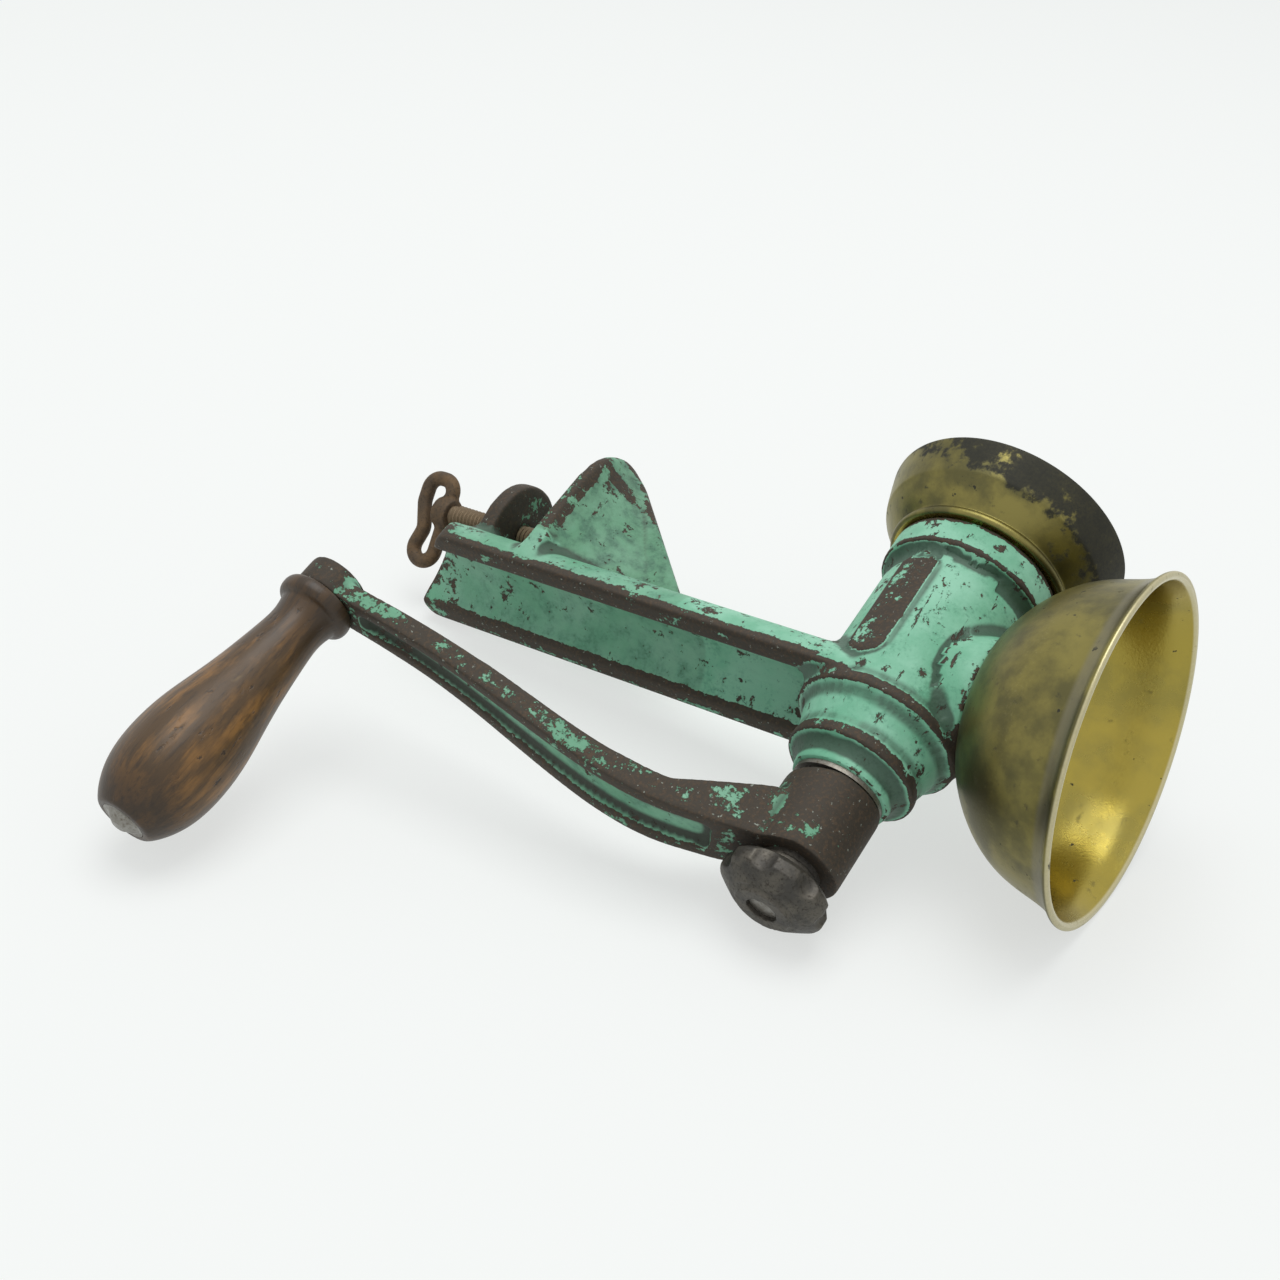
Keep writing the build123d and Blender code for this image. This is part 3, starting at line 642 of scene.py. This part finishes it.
arm_rims = (z < 108) & (y > 22.5)
in_front = y < 10
RUBBED = (
    (lift > 0.3, 0.6),                                            # the bare pad
    ((out > 23.5) & (y > 24) & (y < 32), 0.9),                    # the bead behind the barrel
    ((out > 18.5) & (y > 40), 0.7),                               # the neck's last bead
    ((out > 25.2) & (abs(y + 29) > 3.5) & (y < -20), 0.6),        # the edges of the bell's seat
    (arm_rims & (x > 19.5), 0.7),                                 # the arm's two rims
    (arm_rims & (x < -19.5), 0.4),
    (z < -36, 0.6),                                               # the arm's foot
    ((z < -18.5) & (y < 11.5), 0.9),                              # the lug
    ((abs(z - 3) < 4) & ((abs(x) > 19.5) | (y < -33)) & in_front, 0.7),    # the tongue's edge
)
rubbed = np.zeros(len(x))
for where, amount in RUBBED:
    rubbed[where] = amount
rubbed[(z > 8) & (z < 100) & (abs(x) < 4) & (y < 11)] += 0.35     # the leaf's ridge
# Darker paint by place: partly aged paint, partly painted shade on the lower part, the jaw and the
# lug.
aged_and_shaded = np.where(z < 60, 0.35, 0.0)
aged_and_shaded[(z > 0) & (z < 56) & (y < 11)] = 0.75
aged_and_shaded[(z < -15) & (y < 12)] = 0.6
mark(casting, "rubbed", rubbed)
mark(casting, "aged_and_shaded", aged_and_shaded)
dress(casting, casting_paint, "frame")

# %% [markdown]
# The crank's arm bows away from the casting and is widest where it bows most, so its points
# move by a share of the way from the hub to the grip.

# %% The crank, bowed outwards
CRANK_REACH = 156.0
BOW_PLACES = (0.0, 0.1, 0.2, 0.3, 0.4, 0.5, 0.6, 0.7, 0.8, 1.0)    # shares of the reach
BOW = (0.0, 2.6, 8.0, 9.6, 8.6, 6.4, 3.8, 1.6, 0.4, 0.0)           # millimetres along Y
WIDENING = (0.0, 0.0, 0.22, 0.3, 0.28, 0.22, 0.14, 0.06, 0.0, 0.0)
BLUR = np.linspace(-0.09, 0.09, 9)
RECESS_FLOOR, HUB_END = 72.5 * MM, 75 * MM
MILL_AXIS = Vector((0, 0, MILL_HEIGHT)) * MM


def eased(share, curve):
    """A curve through the bow's places, averaged over a short stretch so that it has no kinks."""
    free = ramp(share, 0, 0.15)
    return np.mean([np.interp(share + step * free, BOW_PLACES, curve) for step in BLUR], axis=0)


crank = soften("crank", "crank_forging", grain=0.75, swell=1.0, passes=4)
mark_edges(crank, 16, 0.35)
grip_low, grip_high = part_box("grip")
grip_middle = (grip_low + grip_high) / 2
arm_way = Vector((grip_middle.x, 0, grip_middle.z)) - MILL_AXIS
arm_way.normalize()
arm_side = np.array(arm_way.cross(Vector((0, 1, 0))))
spots = points_of(crank)
from_axis = spots - np.array(MILL_AXIS)
share = (from_axis @ np.array(arm_way) / (CRANK_REACH * MM)).clip(0, 1)
recess = (spots[:, 1] > RECESS_FLOOR) & (spots[:, 1] < HUB_END) & (share > 0.12) & (share < 0.93)
recess &= points_of(crank, "normals")[:, 1] > 0.5
worn_place = np.where(share < 0.1, 0.45, 0.15)
worn_place[recess] = -0.55
sideways = from_axis @ arm_side
spots += np.outer(sideways * eased(share, WIDENING), arm_side)
spots[:, 1] += eased(share, BOW) * MM
move_points(crank, spots)
mark(crank, "rubbed", worn_place)
# The crank gets the darker paint too: partly aged paint, partly painted shade.
mark(crank, "aged_and_shaded", np.full(len(spots), 0.5))
work(crank, "SMOOTH", factor=0.5, iterations=4)
dress(crank, crank_paint, "crank")

# %% [markdown]
# The adjusting nut, the bent loop that turns the clamp screw and the screw's pad are small
# forgings, softened in the same way.

# %% The nut, the loop and the pad
SMALL_FORGINGS = (
    # node, name, grain, swell, finish, body, slot
    ("adjusting_nut", "lobed_nut", 0.35, 0.5, dark_iron, "nut", "iron"),
    ("thumb_loop", "wing_loop", 0.4, 0.6, rusty_steel, "screw", "rusty_steel"),
    ("swivel_pad", "screw_pad", 0.35, 0.0, rusty_steel, "pad", "rusty_steel"),
)
for node, name, grain, swell, finish, body, slot in SMALL_FORGINGS:
    forging = soften(node, name, grain, swell, passes=3)
    mark_edges(forging, 12, 0.5)
    dress(forging, finish, body)

# %% [markdown]
# ## Spun and turned pieces
# The hopper, the bell and the grip are all turned about an axis. A single point is drawn out
# into a closed outline, spun once round, and its seam is merged. The subdivision that follows
# makes the curve smooth, and points set close together keep an edge crisp.

# %% Spin an outline
def turned(name, outline, centre, along, side, steps=48, levels=2):
    """Spins an outline of (distance along the axis, radius) in millimetres."""
    spots = [centre + along * a * MM + side * r * MM for a, r in outline]
    bpy.ops.mesh.primitive_plane_add(size=MM)
    piece = bpy.context.object
    piece.name = name
    bpy.ops.object.mode_set(mode="EDIT")
    bpy.ops.mesh.select_all(action="SELECT")
    bpy.ops.mesh.merge(type="CENTER")
    bpy.ops.transform.translate(value=spots[0])
    for start, end in zip(spots, spots[1:]):
        bpy.ops.mesh.extrude_region_move(TRANSFORM_OT_translate={"value": end - start})
    bpy.ops.mesh.select_all(action="SELECT")
    bpy.ops.mesh.spin(steps=steps, angle=2 * pi, center=centre, axis=along)
    bpy.ops.mesh.select_all(action="SELECT")
    bpy.ops.mesh.remove_doubles(threshold=0.01 * MM)
    bpy.ops.mesh.normals_make_consistent(inside=False)
    bpy.ops.object.mode_set(mode="OBJECT")
    piece.select_set(False)
    if levels:
        work(piece, "SUBSURF", levels=levels, render_levels=levels)
    return piece


def mark_inner(piece, centre, along):
    """Marks the faces that look towards the axis with 1."""
    from_axis = points_of(piece) - np.array(centre)
    from_axis -= np.outer(from_axis @ np.array(along), np.array(along))
    lengths = np.linalg.norm(from_axis, axis=1, keepdims=True).clip(0.1 * MM)
    facing = (points_of(piece, "normals") * from_axis / lengths).sum(1)
    mark(piece, "inner", (facing < 0.0).astype(float))


X, Y, Z = Vector((1, 0, 0)), Vector((0, 1, 0)), Vector((0, 0, 1))
HOPPER_AXIS = Vector((0, 8, 0)) * MM     # the hopper stands behind the clamp screw's axis

# %% [markdown]
# The hopper is a bowl of thin brass with a flared lip. Its outline runs up the outside, over
# the rim and down the inside.

# %% The hopper bowl
BOWL = [
    (150.0, 15.1), (150.0, 15.3), (150.0, 19.0), (150.1, 19.8), (151.4, 24.0), (153.8, 28.0),
    (157.4, 32.6), (161.6, 36.8), (166.2, 40.2), (170.8, 42.6), (176.0, 44.3), (181.0, 45.5),
    (184.4, 46.6), (186.2, 47.6), (187.4, 48.6), (188.0, 49.4), (188.6, 49.9), (189.4, 49.9),
    (189.8, 49.3), (189.8, 48.3), (189.5, 47.6), (188.6, 47.2), (186.8, 46.4), (184.4, 45.1),
    (181.0, 44.1), (176.0, 42.9), (170.8, 41.2), (166.2, 38.8), (161.6, 35.4), (157.4, 31.2),
    (154.6, 27.2), (152.6, 23.4), (151.5, 19.8), (151.4, 19.0), (151.4, 15.3), (151.4, 15.1),
    (150.0, 15.1),
]
bowl = turned("bowl", BOWL, HOPPER_AXIS, Z, X)
mark_inner(bowl, HOPPER_AXIS, Z)
mark_edges(bowl, 10, 0.35)
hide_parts("hopper_bowl")
dress(bowl, hopper_brass, "frame")

# %% [markdown]
# The bell is the brass mouth in front of the grinding ring. A bright bead sits where it meets
# the casting, and the wall opens from there in one curve to the rim.

# %% The bell
BELL = [
    (-34.0, 21.7), (-34.0, 21.9), (-34.0, 26.6), (-33.8, 27.3), (-34.3, 28.1), (-35.3, 28.4),
    (-36.2, 28.0), (-36.6, 27.5), (-37.2, 28.1), (-39.0, 30.1), (-41.6, 32.4), (-43.6, 34.0),
    (-44.2, 34.6), (-44.9, 34.9), (-49.5, 36.3), (-53.6, 37.4), (-54.8, 37.7), (-55.2, 37.5),
    (-55.2, 36.9), (-54.8, 36.5), (-53.6, 36.2), (-49.5, 35.1), (-45.0, 33.4), (-41.6, 31.3),
    (-39.0, 29.0), (-37.2, 26.6), (-36.0, 25.2), (-35.3, 24.6), (-35.2, 24.2), (-35.2, 21.9),
    (-35.2, 21.7), (-34.0, 21.7),
]
bell = turned("bell", BELL, MILL_AXIS, Y, Z)
mark_inner(bell, MILL_AXIS, Y)
mark_edges(bell, 10, 0.35)
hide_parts("bell_mouth")
dress(bell, bell_brass, "frame")

# %% [markdown]
# The grip is turned wood: a bead beside the crank, a thin neck and a long swelling body. It is
# bored through for its spindle, with a recess for the end washer.

# %% The grip
GRIP_AXIS = Vector((grip_middle.x, 0, grip_middle.z))
GRIP = [
    (76.3, 4.1), (76.3, 4.3), (76.3, 10.4), (76.6, 11.2), (78.0, 11.8), (80.2, 11.7),
    (81.3, 11.0), (81.8, 9.9), (82.2, 9.3), (83.2, 9.1), (85.4, 8.6), (88.5, 8.3), (93.0, 8.7),
    (99.0, 9.5), (106.0, 10.5), (113.0, 11.7), (120.0, 13.2), (127.0, 14.7), (134.0, 15.6),
    (141.0, 15.8), (147.0, 15.3), (152.0, 14.1), (156.5, 12.1), (159.6, 10.0), (160.9, 8.8),
    (161.3, 8.0), (161.3, 6.9), (161.3, 6.7), (161.1, 6.7), (159.9, 6.7), (159.8, 6.6),
    (159.8, 4.3), (159.7, 4.1), (159.5, 4.1), (76.5, 4.1), (76.3, 4.1),
]
grip = turned("wooden_grip", GRIP, GRIP_AXIS, Y, Z)
mark_edges(grip, 10, 0.35)
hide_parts("grip")
dress(grip, worn_wood, "grip")

# %% [markdown]
# ## The clamp screw's thread
# A thread is one small triangle that goes round and climbs. The Screw modifier does that with a
# closed outline, and the plain core, turned as before, runs through it.

# %% The thread
THREAD_PITCH = 1.5
THREAD_ROOT = 3.3
THREAD_CREST = 4.0
THREAD_SUNK = 0.2        # how deep the thread's foot lies in the core
THREAD_GAP = 0.08        # half the flat between two turns
THREAD_STEPS = 24
PAD_SEAT = -6.7
HUB_TOP = -50.5
CHAMFER = 1.0

turns = int((PAD_SEAT - HUB_TOP) / THREAD_PITCH) - 1
start = PAD_SEAT - CHAMFER - turns * THREAD_PITCH
bpy.ops.mesh.primitive_plane_add(size=MM)
thread = bpy.context.object
thread.name = "thread"
bpy.ops.object.mode_set(mode="EDIT")
bpy.ops.mesh.select_all(action="SELECT")
bpy.ops.mesh.merge(type="CENTER")
bpy.ops.transform.translate(value=Vector((THREAD_ROOT - THREAD_SUNK, 0, start)) * MM)
rise = THREAD_PITCH / 2 - THREAD_GAP
bite = THREAD_CREST - THREAD_ROOT + THREAD_SUNK
for step in ((bite, 0, rise), (-bite, 0, rise), (0, 0, -2 * rise)):
    bpy.ops.mesh.extrude_region_move(TRANSFORM_OT_translate={"value": Vector(step) * MM})
bpy.ops.mesh.select_all(action="SELECT")
bpy.ops.mesh.remove_doubles(threshold=0.01 * MM)
bpy.ops.object.mode_set(mode="OBJECT")
thread.select_set(False)
work(
    thread,
    "SCREW",
    screw_offset=THREAD_PITCH * MM,
    iterations=turns,
    steps=THREAD_STEPS,
    render_steps=THREAD_STEPS,
    use_merge_vertices=False,
    use_smooth_shade=False,
)
bpy.ops.object.mode_set(mode="EDIT")
bpy.ops.mesh.select_all(action="DESELECT")
bpy.ops.mesh.select_mode(type="VERT")
bpy.ops.mesh.select_non_manifold()
bpy.ops.mesh.edge_face_add()
bpy.ops.mesh.select_all(action="SELECT")
bpy.ops.mesh.normals_make_consistent(inside=False)
bpy.ops.object.mode_set(mode="OBJECT")
print("turns of the thread:", turns)

# %% [markdown]
# The thread's two ends were closed with a face each, so that it is a solid of its own. The core
# has the tip that the pad sits on, a chamfer, and the tail that goes into the loop's hub.

# %% The clamp screw
TIP_RADIUS, TAIL_RADIUS = 2.4, 2.3
screw_low, screw_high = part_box("clamp_screw")
tip, tail = screw_high.z / MM, screw_low.z / MM
CORE = [
    (tip, 0), (tip, 2.0), (tip - 0.4, TIP_RADIUS), (PAD_SEAT + 0.1, TIP_RADIUS),
    (PAD_SEAT, 3.1), (PAD_SEAT - 0.4, 3.5), (PAD_SEAT - CHAMFER, THREAD_ROOT),
    (HUB_TOP, THREAD_ROOT), (HUB_TOP, TAIL_RADIUS), (tail, TAIL_RADIUS), (tail, 0),
]
core = turned("clamp_thread", CORE, Vector((0, 0, 0)), Z, X, steps=32, levels=0)
bpy.ops.object.select_all(action="DESELECT")
thread.select_set(True)
core.select_set(True)
bpy.context.view_layer.objects.active = core
bpy.ops.object.join()
core.select_set(False)
mark_edges(core, 2, 0.2)
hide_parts("clamp_screw")
dress(core, rusty_steel, "screw")

# %% [markdown]
# ## Solids that stay
# The grinding ring and cone, the shaft, the washers and the spindle are right as they are. They
# keep their meshes and get a finish in place of their plain colour.

# %% Finishes for the solids that stay
STAYING = {
    "hopper_ring": bell_brass,
    "burr_ring": dark_iron,
    "grinding_cone": dark_iron,
    "cone_nut": worn_steel,
    "worm_shaft": worn_steel,
    "shaft_bush": bell_brass,
    "thrust_washer": worn_steel,
    "nut_washer": dark_iron,
    "grip_washer": worn_steel,
    "grip_pin": worn_steel,
}
for node, finish in STAYING.items():
    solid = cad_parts[node]
    solid.data.materials.clear()
    solid.data.materials.append(finish)
print("solids that stay:", len(STAYING))

# %% [markdown]
# ## The studio
# The mill lies on its side, so the floor is tilted in the mill's frame and touches the hopper's
# rim, the nut and the end of the grip. Seen from behind it is clear, so it hides nothing. The
# world is white where the camera or a reflection looks at it, and plain soft light elsewhere.

# %% Floor, world and lamp
FLOOR_WAY = Vector((0.923, -0.374, 0.090)).normalized()
FLOOR_DROP = -36.2 * MM
FLOOR_SIZE = 8.0
bpy.ops.mesh.primitive_plane_add(size=FLOOR_SIZE)
floor = bpy.context.object
floor.name = "floor"
floor_turn = FLOOR_WAY.to_track_quat("Z", "Y").to_matrix().to_4x4()
floor.data.transform(Matrix.Translation(FLOOR_WAY * FLOOR_DROP) @ floor_turn)
paper, place = new_finish("paper")
sheet = place.node("ShaderNodeBsdfDiffuse", inputs={"Color": (0.86, 0.885, 0.87, 1.0)})
clear = place.node("ShaderNodeBsdfTransparent")
behind = place.node("ShaderNodeNewGeometry", out="Backfacing")
glow = place.node("ShaderNodeEmission", inputs={"Color": (0.985, 1.0, 0.985, 1.0), "Strength": 1.0})
looks = place.node("ShaderNodeLightPath", out="Is Camera Ray")
looks = looks.most(place.node("ShaderNodeLightPath", out="Is Glossy Ray"))
looks = looks.most(place.node("ShaderNodeLightPath", out="Is Transmission Ray"))
paper_white = place.node("ShaderNodeMixShader", inputs={0: looks * 0.62, 1: sheet, 2: glow})
seen = place.node("ShaderNodeMixShader", inputs={0: behind, 1: paper_white, 2: clear})
place.node("ShaderNodeOutputMaterial", inputs={"Surface": seen})
floor.data.materials.append(paper)
floor.select_set(False)
floor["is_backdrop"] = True

world = bpy.data.worlds.new("studio")
bpy.context.scene.world = world
world.use_nodes = True
world.node_tree.nodes.clear()
rays = Wire(world.node_tree.nodes.new("ShaderNodeLightPath").outputs["Is Camera Ray"])
glossy = rays.node("ShaderNodeLightPath", out="Is Glossy Ray")
through = rays.node("ShaderNodeLightPath", out="Is Transmission Ray")
white = rays.node("ShaderNodeBackground", inputs={"Color": (1, 1, 1, 1), "Strength": 1.0})
fill = rays.node("ShaderNodeBackground", inputs={"Color": (0.96, 0.98, 1.0, 1), "Strength": 0.55})
shown = rays.most(glossy).most(through)
sky = rays.node("ShaderNodeMixShader", inputs={0: shown, 1: fill, 2: white})
rays.node("ShaderNodeOutputWorld", inputs={"Surface": sky})

LAMP_REACH = 1.8
MILL_MIDDLE = Vector((0, 20, 90)) * MM
lamp = bpy.data.objects.new("softbox", bpy.data.lights.new("softbox", "AREA"))
bpy.context.scene.collection.objects.link(lamp)
lamp.data.size = 1.3
lamp.data.energy = 17.0
lamp_way = (FLOOR_WAY + 0.25 * CAMERA_UP).normalized()
lamp_turn = lamp_way.to_track_quat("Z", "Y").to_matrix().to_4x4()
lamp.matrix_world = Matrix.Translation(MILL_MIDDLE + lamp_way * LAMP_REACH) @ lamp_turn
bpy.context.scene.view_settings.view_transform = "Standard"
print("floor, world and one softbox")

# %% [markdown]
# ## Sizes
# The dressed mill has to stay inside the box of its solids, so both boxes are written down.

# %% Write the two boxes and finish
seen_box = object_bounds()
for low_or_high, cad, now in zip(("low", "high"), cad_box, seen_box):
    print(low_or_high, [round(c / MM, 2) for c in cad], [round(c / MM, 2) for c in now])
